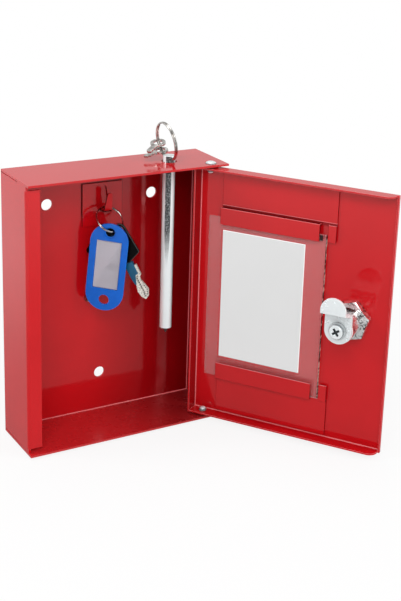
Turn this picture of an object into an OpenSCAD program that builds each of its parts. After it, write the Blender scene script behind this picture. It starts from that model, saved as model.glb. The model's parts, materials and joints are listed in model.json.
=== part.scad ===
// Break glass key box: a folded steel case with a glazed door, open in its rest pose.
// Origin: centre of the back face, on the wall. The front faces -Y and +Z is up.

/* [Case] */
// Width of the case
case_w = 120; // [108:1:180]
// Height of the case
case_h = 155; // [150:1:220]
// Depth of the case from the wall to its front edge
case_d = 40; // [38:1:60]
// Thickness of the case's sheet steel
sheet_t = 1.2; // [0.8:0.1:1.6]
// Inside radius of the folded edges
fold_r = 0.6; // [0.4:0.1:1.5]
// Width of the lip that the lock's cam reaches behind
lip_w = 8; // [6:0.5:12]
// How far the free-side wall and its lip stand back from the front edge
lip_setback = 3.5; // [3:0.1:5]
// Height left open above and below the lip for the door's flanges
lip_relief = 3.7; // [3.7:0.1:6]
// How far the hinge-side wall stands back from the front edge
hinge_setback = 11.2; // [11:0.1:14]
// Width of the open seams at the corners
seam_gap = 0.4; // [0.2:0.1:0.8]
// Length of the open seams, from the back
seam_length = 23; // [10:1:30]

/* [Wall fixing] */
// Diameter of the three holes in the back
fixing_d = 6.5; // [4:0.5:8]
// Distance between the two upper holes
fixing_spacing = 65; // [50:1:80]
// Distance of the upper holes below the case's top
fixing_drop = 23.5; // [18:0.5:30]
// Height of the lower hole above the case's bottom
fixing_rise = 24.6; // [18:0.2:34]
// Sideways place of the hole pattern's middle
fixing_shift = -1; // [-3:0.5:3]

/* [Key hook] */
// Width of the hook's plate
hook_w = 24.5; // [20:0.5:28]
// Height of the hook's plate
hook_h = 25; // [22:1:32]
// Thickness of the hook's plate and tongue
hook_t = 1; // [0.8:0.1:1.2]
// Distance of the plate's top below the case's top
hook_drop = 14; // [10:1:20]
// Sideways place of the hook
hook_x = -0.1; // [-3:0.1:3]
// Sideways place of the tongue from the plate's middle
tongue_shift = 1; // [0:0.1:1.2]
// Width of the slot that the tongue is cut from, at its fold
slot_w = 6.4; // [6:0.1:7]
// Width of that slot near its top
slot_top_w = 3.2; // [2.6:0.1:3.6]
// Length of that slot
slot_h = 13.4; // [12.6:0.2:13.8]
// Width of the tongue at its fold
tongue_w = 4.9; // [4.4:0.1:5.2]
// Width of the tongue near its tip
tongue_tip_w = 3; // [2.4:0.1:3.4]
// Height of the tongue from its underside to its tip
tongue_h = 12; // [10.8:0.2:13]
// Lean of the tongue's upright part away from the plate
tongue_angle = 14; // [8:1:18]
// Distance between the plate and the tongue's upright part
tongue_reach = 4.8; // [4.6:0.1:5.2]
// Distance of the tongue's underside below the plate's top
tongue_drop = 16.2; // [16:0.1:16.6]

/* [Door] */
// Angle by which the door stands open
door_angle = 123.5; // [0:0.5:186]
// Thickness of the door's sheet steel
door_t = 1; // [0.8:0.1:1.2]
// Gap between the door and the case's top and bottom panels
door_gap = 0.9; // [0.6:0.1:1.2]
// Gap at the door's free edge
free_gap = 0.4; // [0.2:0.1:0.8]
// Gap at the door's hinge edge
hinge_gap = 0.8; // [0.6:0.1:1.2]
// Depth of the top, bottom and hinge-side flanges
flange_d = 9; // [8.6:0.1:9.4]
// Depth of the free-side flange
free_flange_d = 3.2; // [2.4:0.1:3.2]
// Radius of the top and bottom flanges' free corner
flange_r = 5; // [2:0.5:5.5]
// Distance of the hinge axis from the case's hinge side
pivot_inset = 9; // [8.6:0.1:9.2]
// Depth of the hinge axis behind the front edge
pivot_depth = 4.8; // [4.6:0.1:5]
// Diameter of the hinge rivets' shanks
rivet_d = 3.6; // [3:0.1:4]
// Diameter of the hinge rivets' heads
rivet_head_d = 6.2; // [5.6:0.1:6.8]
// Height of the rivets' domed heads
rivet_head_h = 1.4; // [1:0.1:1.8]
// Radial running gap between rivet and door
rivet_gap = 0.06; // [0.03:0.01:0.1]

/* [Window and glass] */
// Distance between the window and the door's free edge, where the lock sits
window_side = 52.5; // [52:0.1:64]
// Height of the window
window_h = 77.9; // [60:0.1:80]
// Distance of the window from the door's hinge edge
window_inset = 15.1; // [14:0.1:20]
// Height of the window's lower edge above the door's bottom edge
window_rise = 36.1; // [34:0.1:40]
// Overlap of the glass beyond the window's hinge side
glass_overlap_hinge = 7.5; // [5:0.1:8]
// Height of the glass pane
glass_h = 97.3; // [90:0.1:98]
// Thickness of the glass pane
glass_t = 2; // [1.5:0.1:2.2]
// Play of the glass in front and behind
glass_gap = 0.2; // [0.1:0.05:0.3]
// Overlap of the glass beyond the window's lock side
glass_overlap = 12.8; // [8:0.1:13]
// Overlap of the glass below the window
glass_below = 11.6; // [8:0.1:12]
// Height that the glass can be lifted
glass_lift = 5; // [4:0.5:7]
// Reach of the retainer plates beyond the window's lock side
retainer_reach = 18.3; // [14:0.1:18.8]
// Thickness of the retainer plates
retainer_t = 1; // [0.8:0.1:1.2]
// Depth to which a retainer's channel covers the glass's edge
channel_h = 9; // [7:0.5:10]
// Width of a retainer's end tab
tab_w = 4.6; // [3:0.2:6]
// Gap between a retainer's channel and its end tab
tab_gap = 4.7; // [3:0.1:6]
// Margin between a retainer and the door's top or bottom flange
retainer_margin = 1.2; // [0.5:0.1:3]

/* [Cam lock] */
// Distance of the lock's axis from the case's free side
lock_inset = 23.5; // [22:0.5:26]
// Height of the lock's axis above the case's middle
lock_z = 0.5; // [-3:0.5:3]
// Diameter of the lock's barrel
barrel_d = 16; // [15:0.5:17]
// Width across the barrel's flats
barrel_flat_w = 13.6; // [12.5:0.1:14.5]
// Length of the barrel behind the door's outer face
barrel_l = 19.8; // [16:0.2:22]
// Diameter of the lock's outer collar
collar_d = 20; // [18:0.5:23]
// Thickness of the outer collar
collar_t = 2.2; // [1.5:0.1:3]
// Width across the flats of the nut
nut_af = 21; // [19:0.5:22]
// Thickness of the nut
nut_t = 4.8; // [3:0.1:6]
// Turn of the nut
nut_turn = 12.7; // [0:0.1:30]
// Diameter of the turning plug
plug_d = 11; // [9.5:0.5:11.5]
// Radial running gap of the plug
plug_gap = 0.06; // [0.03:0.01:0.1]
// Width of the square that drives the cam
square_w = 6.4; // [5.5:0.1:7]
// Width of the cam
cam_w = 15.5; // [14:0.5:16]
// Thickness of the cam
cam_t = 1.6; // [1.2:0.1:2]
// Height of the cam's flat base above the axis
cam_base_h = 9.5; // [8.5:0.5:11]
// Depth of the cam's joggle
joggle_d = 9.4; // [3:0.2:10]
// Rise of the cam's joggle
joggle_h = 3.4; // [3:0.1:6]
// Reach of the cam from its axis
cam_reach = 21.5; // [20:0.1:21.6]
// Diameter of the cam screw's head
cam_screw_d = 8.4; // [7.5:0.1:9]
// Height of the cam screw's head
cam_screw_h = 2; // [1.5:0.1:2.6]
// Diameter of the cam screw's shank
cam_shank_d = 4; // [3:0.1:4.5]
// Length of the shank inside the plug
cam_shank_l = 8; // [5:1:12]
// Thickness of the washer under that screw
washer_t = 0.9; // [0.6:0.1:1.2]

/* [Striker] */
// Diameter of the striker rod
rod_d = 7.1; // [6:0.1:7.2]
// Sideways place of the rod
rod_x = 31.8; // [30:0.1:33]
// Distance of the rod's axis in front of the wall
rod_y = 21.5; // [20:0.5:22]
// Length of the rod below the case's top
rod_drop = 107.6; // [60:0.1:120]
// Length of the rod above the case's top
rod_rise = 3.3; // [3.3:0.1:5]
// Height of the rod's pointed end
point_h = 3.6; // [3:0.1:8]
// Diameter of the ball on that point
ball_d = 2.4; // [1.6:0.1:3]
// Diameter of the hole that the rod hangs in
rod_hole_d = 8.8; // [8.2:0.1:9.2]
// Diameter of the cross hole that the ring runs through
cross_hole_d = 3.6; // [3.5:0.1:3.8]
// Height of that cross hole above the case's top
cross_hole_h = 0.8; // [0.7:0.1:1]
// Radius of the striker ring to the middle of its wire
ring_r = 10.8; // [10.4:0.1:12]
// Diameter of the striker ring's wire, which lies double
ring_wire_d = 1.1; // [1:0.1:1.3]
// Lean of the striker ring to the free side
ring_lean = 10; // [4:1:14]
// Diameter of a lock key's bow
lock_bow_d = 8.8; // [8.6:0.1:9]
// Diameter of the hole in that bow
lock_bow_hole_d = 5.6; // [5.4:0.1:6]
// Thickness of a lock key
lock_key_t = 1.2; // [1:0.1:1.3]
// Length of a lock key from its hole to its tip
lock_key_l = 12; // [11.5:0.5:13]
// Width of a lock key's blade
lock_blade_w = 3.4; // [2.8:0.1:3.6]

/* [Keys on the hook] */
// Radius of the hook's ring to the middle of its wire
split_r = 8.2; // [7.8:0.05:8.4]
// Diameter of the hook ring's wire, which lies double
split_wire_d = 0.8; // [0.7:0.05:0.85]
// Lean of the hook's ring, top back against the plate
split_lean = 44; // [40:1:45]
// Turn of the hook's ring about the vertical
split_yaw = 10; // [8:1:12]
// Sideways place of the ring on the hook's tongue
split_shift = -1.2; // [-1.2:0.1:0]
// Turn of the tag and the keys about the vertical
set_yaw = -38; // [-39:1:-37]
// Place of the tag round the ring, from its lowest point
tag_place = -18; // [-19:1:-17]
// Lean of the tag in its own plane
tag_lean = 5; // [2:0.2:8]
// Width of the tag
tag_w = 21.8; // [20:0.2:24]
// Length of the tag
tag_l = 52; // [48:0.5:54]
// Thickness of the tag
tag_t = 1.8; // [1.7:0.1:2]
// Diameter of the tag's upper hole
tag_eye_d = 5.2; // [5.2:0.1:5.6]
// Chamfer on both edges of the upper hole
tag_eye_chamfer = 0.8; // [0.6:0.1:0.8]
// Distance of the upper hole from the tag's top
tag_eye_drop = 5.2; // [4.8:0.1:6]
// Diameter of the tag's lower hole
tag_hole_d = 6; // [5:0.1:6.4]
// Distance of the lower hole from the tag's bottom
tag_hole_rise = 6.4; // [6:0.1:7]
// Width of the label
label_w = 14; // [12:0.2:15]
// Height of the label
label_h = 28.2; // [24:0.2:30]
// Distance of the label's middle above the tag's middle
label_rise = 1.4; // [0:0.1:2]
// Thickness of the plastic heads of the keys
head_t = 2; // [1.8:0.1:2.2]
// Gap between the tag and the keys behind it
stack_gap = 0.25; // [0.2:0.05:0.4]
// Diameter of the holes in the key heads
head_hole_d = 4.6; // [4.4:0.1:4.8]
// Thickness of a key's blade
blade_t = 1.6; // [1.2:0.1:2]

/* [Hidden] */
$fn = 64;

// Clearances and details that follow from the way such a box is made
cut = 1;
seat_gap = 0.3;
fold_out_r = fold_r + sheet_t;
door_fold_r = fold_r + door_t;

// Case faces
left_x = -case_w / 2;
right_x = case_w / 2;
top_z = case_h / 2;
front_y = -case_d;
lip_y = front_y + lip_setback;

// Hinge axis
pivot_x = right_x - pivot_inset;
pivot_y = front_y + pivot_depth;

// Door pan in its closed place
door_left = left_x + free_gap;
door_right = right_x - hinge_gap;
door_w = door_right - door_left;
door_h = case_h - 2 * sheet_t - 2 * door_gap;
door_bottom = -door_h / 2;
door_in_y = front_y + door_t;
flange_left = left_x + sheet_t + free_gap;

// Window, glass and retainers in their closed place
window_right = door_right - window_inset;
window_left = door_left + window_side;
window_w = window_right - window_left;
window_bottom = door_bottom + window_rise;
glass_left = window_left - glass_overlap;
glass_w = glass_overlap + window_w + glass_overlap_hinge;
glass_bottom = window_bottom - glass_below;
glass_top = glass_bottom + glass_h;
glass_y = door_in_y + glass_gap;
channel_y = glass_y + glass_t + glass_gap;
channel_out_y = channel_y + retainer_t;
retainer_right = window_right;
retainer_left = window_left - retainer_reach;
tab_right = retainer_left + tab_w;
channel_left = tab_right + tab_gap;
lower_floor_z = glass_bottom - seat_gap;
upper_floor_z = glass_top + glass_lift + seat_gap;

// Lock in its closed place
lock_x = left_x + lock_inset;
barrel_end_y = front_y + barrel_l;
cam_y = barrel_end_y + seat_gap;
cam_out_y = cam_y + cam_t;
tongue_r = cam_w / 2 - 0.5;
thread_gap = 0.1;
barrel_hole_gap = 0.25;
washer_margin = 0.9;

// Striker
rod_axis_y = -rod_y;
ring_axis_z = top_z + cross_hole_h;
wire_pair = 0.42;
lock_key_play = 0.8;
lock_key_spots = [74, 49];
lock_key_turns = [-145, -165];
lock_key_pitches = [14, 9];

// Ring on the hook: its wire lies in the trough between plate and tongue
plate_y = -sheet_t - hook_t;
tongue_x = hook_x + tongue_shift;
tongue_z = top_z - hook_drop - tongue_drop;
tongue_floor_z = tongue_z + hook_t;
split_top_y = plate_y - tongue_reach / 2;
tongue_side = tongue_w / 2 + abs(split_shift);
split_drop = (split_r - sqrt(split_r * split_r - tongue_side * tongue_side)) * cos(split_lean);
split_top_z = tongue_floor_z + seat_gap + split_drop
    + split_wire_d * (0.5 + wire_pair * sin(split_lean));
split_axis = [
    -sin(split_yaw) * sin(split_lean),
    cos(split_yaw) * sin(split_lean),
    cos(split_lean)];
split_top = [tongue_x + split_shift, split_top_y, split_top_z];
split_centre = split_top - split_r * split_axis;

// Point on the hook ring's wire, by its angle from the lowest point
function split_point(angle) = split_centre - split_r * cos(angle) * split_axis
    + split_r * sin(angle) * [cos(split_yaw), sin(split_yaw), 0];

// Distance of a point from the wall along the set's facing direction
function depth_of(point) = -point[0] * sin(set_yaw) + point[1] * cos(set_yaw);

// Angle round the ring at which its wire meets a plane at the given depth
swing_x = split_r * depth_of([cos(split_yaw), sin(split_yaw), 0]);
swing_y = split_r * depth_of(split_axis);
swing_size = sqrt(swing_x * swing_x + swing_y * swing_y);
function place_at(depth) = atan2(swing_y, swing_x)
    + asin((depth - depth_of(split_centre)) / swing_size);

tag_point = split_point(tag_place);
tag_depth = depth_of(tag_point);
spare_depth = tag_depth + tag_t / 2 + stack_gap + head_t / 2;
room_depth = spare_depth + head_t + stack_gap;
spare_point = split_point(place_at(spare_depth));
room_point = split_point(place_at(room_depth));
eye_sag = 0.5;
eye_shift = -0.6;
label_t = 0.4;
cover_t = 0.8;

// Key heads and blades, from the hole that the ring runs through
head_wall = 1.3;
head_corner_r = 1.6;
head_bulge = 1.3;
head_shoulder = 4;
room_lean = -27;
room_axis_x = -3.4;
room_half_w = 8.3;
room_head_l = 16.6;
spare_lean = 15.5;
spare_axis_x = -4.6;
spare_half_w = 8.6;
spare_head_l = 17.4;
spare_blade_l = 27.4;
spare_blade_w = 4.6;
sleeve_l = 8;
sleeve_w = 5;
sleeve_t = 3;
sleeve_shift = -0.6;
room_sleeve_z = -room_head_l - head_bulge - head_corner_r - sleeve_l;

// Block whose four back edges are rounded
module rounded_back(width, depth, radius) {
    translate([-width / 2, -depth]) square([width, depth - radius]);
    translate([-width / 2 + radius, -depth]) square([width - 2 * radius, depth]);
    for (side = [-1, 1]) translate([side * (width / 2 - radius), -radius]) circle(radius);
}

module folded_block(width, height, depth, radius) {
    intersection() {
        linear_extrude(height, center = true) rounded_back(width, depth, radius);
        rotate([90, 0, 90])
            linear_extrude(width, center = true)
                rotate(-90) rounded_back(height, depth, radius);
    }
}

// Cylinder from y_from to y_to
module along_y(y_from, y_to, diameter) {
    translate([0, y_to, 0]) rotate([90, 0, 0]) cylinder(h = y_to - y_from, d = diameter);
}

// Outline in X and Z, extruded from y_from to y_to
module plate_y_extrude(y_from, y_to) {
    translate([0, y_to, 0]) rotate([90, 0, 0]) linear_extrude(y_to - y_from) children();
}

// Ring of wire that lies double, standing in the XZ plane
module double_ring(radius, wire_d) {
    rotate([90, 0, 0])
        rotate_extrude()
            for (side = [-1, 1])
                translate([radius, side * wire_d * wire_pair]) circle(d = wire_d);
}

// Turns what is drawn in the door's closed place to where the door stands
module on_door() {
    translate([pivot_x, pivot_y, 0])
        rotate([0, 0, door_angle])
            translate([-pivot_x, -pivot_y, 0]) children();
}

module on_lock() {
    on_door() translate([lock_x, 0, lock_z]) children();
}

module case() {
    lip_h = case_h - 2 * sheet_t - 2 * (lip_relief - sheet_t);
    color("crimson") difference() {
        union() {
            difference() {
                folded_block(case_w, case_h, case_d, fold_out_r);
                translate([0, -sheet_t, 0])
                    folded_block(case_w - 2 * sheet_t, case_h - 2 * sheet_t, case_d, fold_r);
                free_side_cut();
                hinge_side_cut();
            }
            translate([left_x, lip_y, -lip_h / 2]) cube([lip_w, sheet_t, lip_h]);
        }
        lip_fold_cut(lip_h);
        corner_seams();
        fixing_holes();
        translate([rod_x, rod_axis_y, top_z - sheet_t - cut])
            cylinder(h = sheet_t + 2 * cut, d = rod_hole_d);
        for (side = [-1, 1])
            translate([pivot_x, pivot_y, side * top_z])
                cylinder(h = 4 * sheet_t, d = rivet_d + 2 * rivet_gap, center = true);
    }
}

module free_side_cut() {
    translate([left_x - cut, front_y - cut, -top_z + sheet_t])
        cube([sheet_t + cut, lip_setback + cut, case_h - 2 * sheet_t]);
}

module hinge_side_cut() {
    translate([right_x - sheet_t, front_y - cut, -top_z + sheet_t])
        cube([sheet_t + cut, hinge_setback + cut, case_h - 2 * sheet_t]);
}

module lip_fold_cut(lip_h) {
    translate([left_x, lip_y, 0]) linear_extrude(lip_h, center = true) difference() {
        translate([-cut, -cut]) square(fold_out_r + cut);
        translate([fold_out_r, fold_out_r]) circle(fold_out_r);
    }
}

module corner_seams() {
    for (side = [-1, 1], end = [-1, 1])
        translate([side * (case_w - sheet_t) / 2, -fold_out_r - seam_length / 2,
                end * (top_z - sheet_t - seam_gap / 2)])
            cube([sheet_t + 2 * seam_gap, seam_length, seam_gap], center = true);
}

module fixing_holes() {
    places = [
        [fixing_shift - fixing_spacing / 2, top_z - fixing_drop],
        [fixing_shift + fixing_spacing / 2, top_z - fixing_drop],
        [fixing_shift, -top_z + fixing_rise]];
    for (place = places)
        translate([place[0], 0, place[1]]) along_y(-sheet_t - cut, cut, fixing_d);
}

module hook_plate() {
    plate_top = top_z - hook_drop;
    color("firebrick") {
        difference() {
            translate([hook_x - hook_w / 2, plate_y, plate_top - hook_h])
                cube([hook_w, hook_t, hook_h]);
            plate_y_extrude(plate_y - cut, plate_y + hook_t + cut) hook_slot();
        }
        intersection() {
            along_x(tongue_x - tongue_w, tongue_x + tongue_w) tongue_section();
            plate_y_extrude(-case_d, 0) tongue_outline();
        }
    }
}

module hook_slot() {
    arch_z = tongue_floor_z + slot_h - slot_top_w / 2;
    polygon([
        [tongue_x - slot_w / 2, tongue_floor_z], [tongue_x + slot_w / 2, tongue_floor_z],
        [tongue_x + slot_top_w / 2, arch_z], [tongue_x - slot_top_w / 2, arch_z]]);
    translate([tongue_x, arch_z]) circle(d = slot_top_w);
}

// Side section of the tongue in Y and Z: out of the plate, round a bend and up
module tongue_section() {
    bend_r = hook_t;
    bend_y = plate_y - tongue_reach + bend_r;
    translate([bend_y, tongue_z]) square([plate_y + hook_t / 2 - bend_y, hook_t]);
    translate([bend_y, tongue_floor_z + bend_r]) {
        intersection() {
            difference() {
                circle(bend_r + hook_t);
                circle(bend_r);
            }
            polygon([
                [0, 0], [0, -3 * hook_t], [-3 * hook_t, -3 * hook_t],
                [-3 * hook_t, -3 * hook_t * tan(tongue_angle)]]);
        }
        rotate(tongue_angle) translate([-bend_r - hook_t, 0]) square([hook_t, 2 * tongue_h]);
    }
}

// Front outline of the tongue in X and Z
module tongue_outline() {
    arch_z = tongue_z + tongue_h - tongue_tip_w / 2;
    polygon([
        [tongue_x - tongue_w / 2, tongue_z - cut], [tongue_x + tongue_w / 2, tongue_z - cut],
        [tongue_x + tongue_w / 2, tongue_floor_z], [tongue_x + tongue_tip_w / 2, arch_z],
        [tongue_x - tongue_tip_w / 2, arch_z], [tongue_x - tongue_w / 2, tongue_floor_z]]);
    translate([tongue_x, arch_z]) circle(d = tongue_tip_w);
}

// Rivet with a domed head outside and a formed head inside, drawn at the case's top
module hinge_rivet() {
    dome_r = (rivet_head_d * rivet_head_d / 4 + rivet_head_h * rivet_head_h) / (2 * rivet_head_h);
    flange_in_z = top_z - sheet_t - door_gap - door_t;
    rivet_tail_d = 1.5 * rivet_d;
    tail_h = rivet_head_h / 2;
    tail_z = flange_in_z - seat_gap - tail_h;
    color("silver") translate([pivot_x, pivot_y, 0]) {
        translate([0, 0, tail_z]) cylinder(h = top_z - tail_z, d = rivet_d);
        translate([0, 0, tail_z]) cylinder(h = tail_h, d = rivet_tail_d);
        translate([0, 0, top_z]) intersection() {
            cylinder(h = rivet_head_h, d = rivet_head_d);
            translate([0, 0, rivet_head_h - dome_r]) sphere(dome_r);
        }
    }
}

module hinge_rivet_upper() {
    hinge_rivet();
}

module hinge_rivet_lower() {
    mirror([0, 0, 1]) hinge_rivet();
}

module door_pan() {
    color("crimson") on_door() difference() {
        intersection() {
            translate([(door_left + door_right) / 2, front_y, 0])
                mirror([0, 1, 0]) door_shell();
            door_outline();
        }
        translate([window_left, front_y - cut, window_bottom])
            cube([window_w, door_t + 2 * cut, window_h]);
        translate([lock_x, 0, lock_z]) plate_y_extrude(front_y - cut, door_in_y + cut)
            barrel_outline(barrel_hole_gap);
        for (side = [-1, 1])
            translate([pivot_x, pivot_y, side * door_h / 2])
                cylinder(h = 4 * door_t, d = rivet_d + 2 * rivet_gap, center = true);
    }
}

module door_shell() {
    difference() {
        folded_block(door_w, door_h, flange_d, door_fold_r);
        translate([0, -door_t, 0])
            folded_block(door_w - 2 * door_t, door_h - 2 * door_t, flange_d, fold_r);
    }
}

// Plan of the door: a shallow free edge, then flanges with one rounded corner
module door_outline() {
    back_y = front_y + flange_d;
    linear_extrude(case_h, center = true) {
        translate([door_left, front_y]) square([door_w, free_flange_d]);
        translate([flange_left + flange_r, front_y])
            square([door_right - flange_left - flange_r, flange_d]);
        translate([flange_left, front_y]) square([flange_r, flange_d - flange_r]);
        translate([flange_left + flange_r, back_y - flange_r]) circle(flange_r);
    }
}

// Retainer section in Y and Z: flat on the door, then stepped over the glass's edge
module retainer_section(flat_end, floor_z, step_y, reach) {
    up = sign(flat_end - floor_z);
    low = min(flat_end, floor_z);
    translate([door_in_y, low]) square([retainer_t, abs(flat_end - floor_z)]);
    translate([door_in_y, min(floor_z, floor_z + up * retainer_t)])
        square([step_y - door_in_y + retainer_t, retainer_t]);
    translate([step_y, min(floor_z + up * retainer_t, floor_z - up * reach)])
        square([retainer_t, reach + retainer_t]);
}

module along_x(x_from, x_to) {
    translate([x_from, 0, 0]) rotate([90, 0, 90]) linear_extrude(x_to - x_from) children();
}

module glass_retainer(flat_end, floor_z) {
    tab_y = door_in_y + retainer_t;
    color("firebrick") on_door() {
        along_x(channel_left, retainer_right)
            retainer_section(flat_end, floor_z, channel_y, channel_h);
        along_x(retainer_left, tab_right) retainer_section(flat_end, floor_z, tab_y, channel_h);
        along_x(retainer_left, retainer_right)
            translate([door_in_y, min(flat_end, floor_z)])
                square([retainer_t, abs(flat_end - floor_z)]);
    }
}

module glass_retainer_upper() {
    glass_retainer(door_h / 2 - door_t - retainer_margin, upper_floor_z);
}

module glass_retainer_lower() {
    glass_retainer(-door_h / 2 + door_t + retainer_margin, lower_floor_z);
}

module glass_pane() {
    color("lightcyan", 0.4) on_door()
        translate([glass_left, glass_y, glass_bottom]) cube([glass_w, glass_t, glass_h]);
}

// Round barrel with two flats
module barrel_outline(gap) {
    intersection() {
        circle(d = barrel_d + 2 * gap);
        square([barrel_d + 2 * cut, barrel_flat_w + 2 * gap], center = true);
    }
}

module lock_housing() {
    color("silver") on_lock() difference() {
        union() {
            plate_y_extrude(front_y, barrel_end_y) barrel_outline(0);
            along_y(front_y - collar_t, front_y, collar_d);
        }
        along_y(front_y - collar_t - cut, barrel_end_y + cut, plug_d + 2 * plug_gap);
    }
}

module lock_nut() {
    nut_corner_d = nut_af / cos(30);
    corner_slope = 60;
    color("lightgray") on_lock() difference() {
        translate([0, door_in_y + nut_t, 0])
            rotate([90, nut_turn, 0]) intersection() {
                cylinder(h = nut_t, d = nut_corner_d, $fn = 6);
                cylinder(h = nut_t, d1 = nut_af, d2 = nut_af + 2 * nut_t * tan(corner_slope));
            }
        along_y(door_in_y - cut, door_in_y + nut_t + cut, barrel_d + 2 * thread_gap);
    }
}

module lock_plug() {
    keyway_w = 1.8;
    keyway_h = 7;
    keyway_l = 14;
    color("gainsboro") on_lock() difference() {
        union() {
            along_y(front_y - collar_t, barrel_end_y, plug_d);
            translate([-square_w / 2, barrel_end_y, -square_w / 2])
                cube([square_w, seat_gap + cam_t - washer_t / 2, square_w]);
        }
        translate([-keyway_w / 2, front_y - collar_t - cut, -keyway_h / 2])
            cube([keyway_w, keyway_l + cut, keyway_h]);
        along_y(barrel_end_y - cam_shank_l - seat_gap, cam_out_y + cut,
            cam_shank_d + 2 * thread_gap);
    }
}

// Side section of the cam in Y and Z
module cam_section() {
    tongue_y = cam_y + joggle_d;
    fold_z = cam_base_h + joggle_h;
    polygon([
        [cam_y, -cam_w], [cam_out_y, -cam_w],
        [cam_out_y, cam_base_h - cam_t / 2], [tongue_y + cam_t, fold_z - cam_t / 2],
        [tongue_y + cam_t, cam_reach + cut], [tongue_y, cam_reach + cut],
        [tongue_y, fold_z + cam_t / 2], [cam_y, cam_base_h + cam_t / 2]]);
}

// Front outline of the cam in X and Z
module cam_outline() {
    shoulder_z = cam_reach - tongue_r;
    circle(d = cam_w);
    translate([-cam_w / 2, 0]) square([cam_w, cam_base_h]);
    translate([-tongue_r, 0]) square([2 * tongue_r, shoulder_z]);
    translate([0, shoulder_z]) circle(tongue_r);
}

module lock_cam() {
    color("gainsboro") on_lock() difference() {
        intersection() {
            along_x(-cam_w, cam_w) cam_section();
            plate_y_extrude(front_y, 0) cam_outline();
        }
        translate([0, cam_y + cam_t / 2, 0])
            cube([square_w + 2 * thread_gap, 2 * cam_t, square_w + 2 * thread_gap], center = true);
    }
}

module cam_washer() {
    split_w = 0.8;
    split_turn = 20;
    washer_d = cam_screw_d + 2 * washer_margin;
    color("gray") on_lock() difference() {
        along_y(cam_out_y, cam_out_y + washer_t, washer_d);
        along_y(cam_out_y - cut, cam_out_y + washer_t + cut, cam_shank_d + 2 * seat_gap);
        translate([0, cam_out_y + washer_t / 2, -washer_d / 2]) rotate([0, 0, split_turn])
            cube([split_w, 4 * washer_t, washer_d], center = true);
    }
}

module cam_screw() {
    head_y = cam_out_y + washer_t;
    recess_w = 1.1;
    recess_l = 4.6;
    recess_d = 1.2;
    recess_turn = 35;
    head_round_r = 0.8;
    color("silver") on_lock() difference() {
        union() {
            translate([0, head_y, 0]) rotate([-90, 0, 0]) rotate_extrude() {
                square([cam_screw_d / 2 - head_round_r, cam_screw_h]);
                square([cam_screw_d / 2, cam_screw_h - head_round_r]);
                intersection() {
                    translate([cam_screw_d / 2 - head_round_r, cam_screw_h - head_round_r])
                        circle(head_round_r);
                    square([cam_screw_d, cam_screw_h]);
                }
            }
            along_y(barrel_end_y - cam_shank_l, head_y, cam_shank_d);
        }
        for (turn = [0, 90])
            translate([0, head_y + cam_screw_h, 0]) rotate([0, turn + recess_turn, 0])
                cube([recess_l, 2 * recess_d, recess_w], center = true);
    }
}

module striker_rod() {
    point_z = top_z - rod_drop;
    shoulder_z = point_z + point_h;
    color("lightgray") translate([rod_x, rod_axis_y, 0]) difference() {
        union() {
            translate([0, 0, shoulder_z]) cylinder(h = top_z + rod_rise - shoulder_z, d = rod_d);
            translate([0, 0, point_z + ball_d / 2])
                cylinder(h = point_h - ball_d / 2, d1 = ball_d / 2, d2 = rod_d);
            translate([0, 0, point_z + ball_d / 2]) sphere(d = ball_d);
        }
        translate([0, 0, ring_axis_z]) along_y(-rod_d, rod_d, cross_hole_d);
    }
}

// Frame of the striker ring: its swing axis runs along Y through the rod's cross hole
module on_striker_ring() {
    translate([rod_x, rod_axis_y, ring_axis_z]) rotate([0, -ring_lean, 0]) children();
}

module striker_ring() {
    color("silver") on_striker_ring()
        translate([0, 0, ring_r]) rotate([0, 0, 90]) double_ring(ring_r, ring_wire_d);
}

function striker_point(angle) = [
    rod_x - ring_r * (1 - cos(angle)) * sin(ring_lean),
    rod_axis_y + ring_r * sin(angle),
    ring_axis_z + ring_r * (1 - cos(angle)) * cos(ring_lean)];

// Small flat key that hangs from the striker ring
module lock_key(index) {
    teeth = 3;
    tooth_r = 0.7;
    tooth_pitch = 1.9;
    tip_x = lock_key_l - lock_blade_w / 2;
    color("silver")
        translate(striker_point(lock_key_spots[index]))
            rotate([0, lock_key_pitches[index], lock_key_turns[index]])
                translate([lock_key_play, 0, -lock_key_t / 2])
                    linear_extrude(lock_key_t) difference() {
                        union() {
                            circle(d = lock_bow_d);
                            translate([0, -lock_blade_w / 2]) square([tip_x, lock_blade_w]);
                            translate([tip_x, 0]) circle(d = lock_blade_w);
                        }
                        circle(d = lock_bow_hole_d);
                        for (tooth = [1 : teeth])
                            translate([lock_bow_d / 2 + tooth * tooth_pitch, lock_blade_w / 2])
                                circle(tooth_r);
                    }
}

module lock_key_1() {
    lock_key(0);
}

module lock_key_2() {
    lock_key(1);
}

module hook_ring() {
    color("silver") translate(split_centre)
        rotate([0, 0, split_yaw]) rotate([-split_lean, 0, 0]) double_ring(split_r, split_wire_d);
}

// Frame of a flat piece on the hook's ring: X across it, Z up it, turned by lean in its plane
module on_set(point, lean) {
    translate(point) rotate([0, 0, set_yaw]) rotate([0, lean, 0]) children();
}

module on_tag() {
    on_set(tag_point, tag_lean)
        translate([eye_shift, 0, -eye_sag + tag_eye_drop - tag_l / 2]) children();
}

module stadium(width, length) {
    for (end = [-1, 1]) translate([0, end * (length - width) / 2]) circle(d = width);
    square([width, length - width], center = true);
}

module tag_holes() {
    translate([0, tag_l / 2 - tag_eye_drop]) circle(d = tag_eye_d);
    translate([0, -tag_l / 2 + tag_hole_rise]) circle(d = tag_hole_d);
}

module label_place(gap) {
    translate([0, label_rise]) square([label_w + 2 * gap, label_h + 2 * gap], center = true);
}

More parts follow.
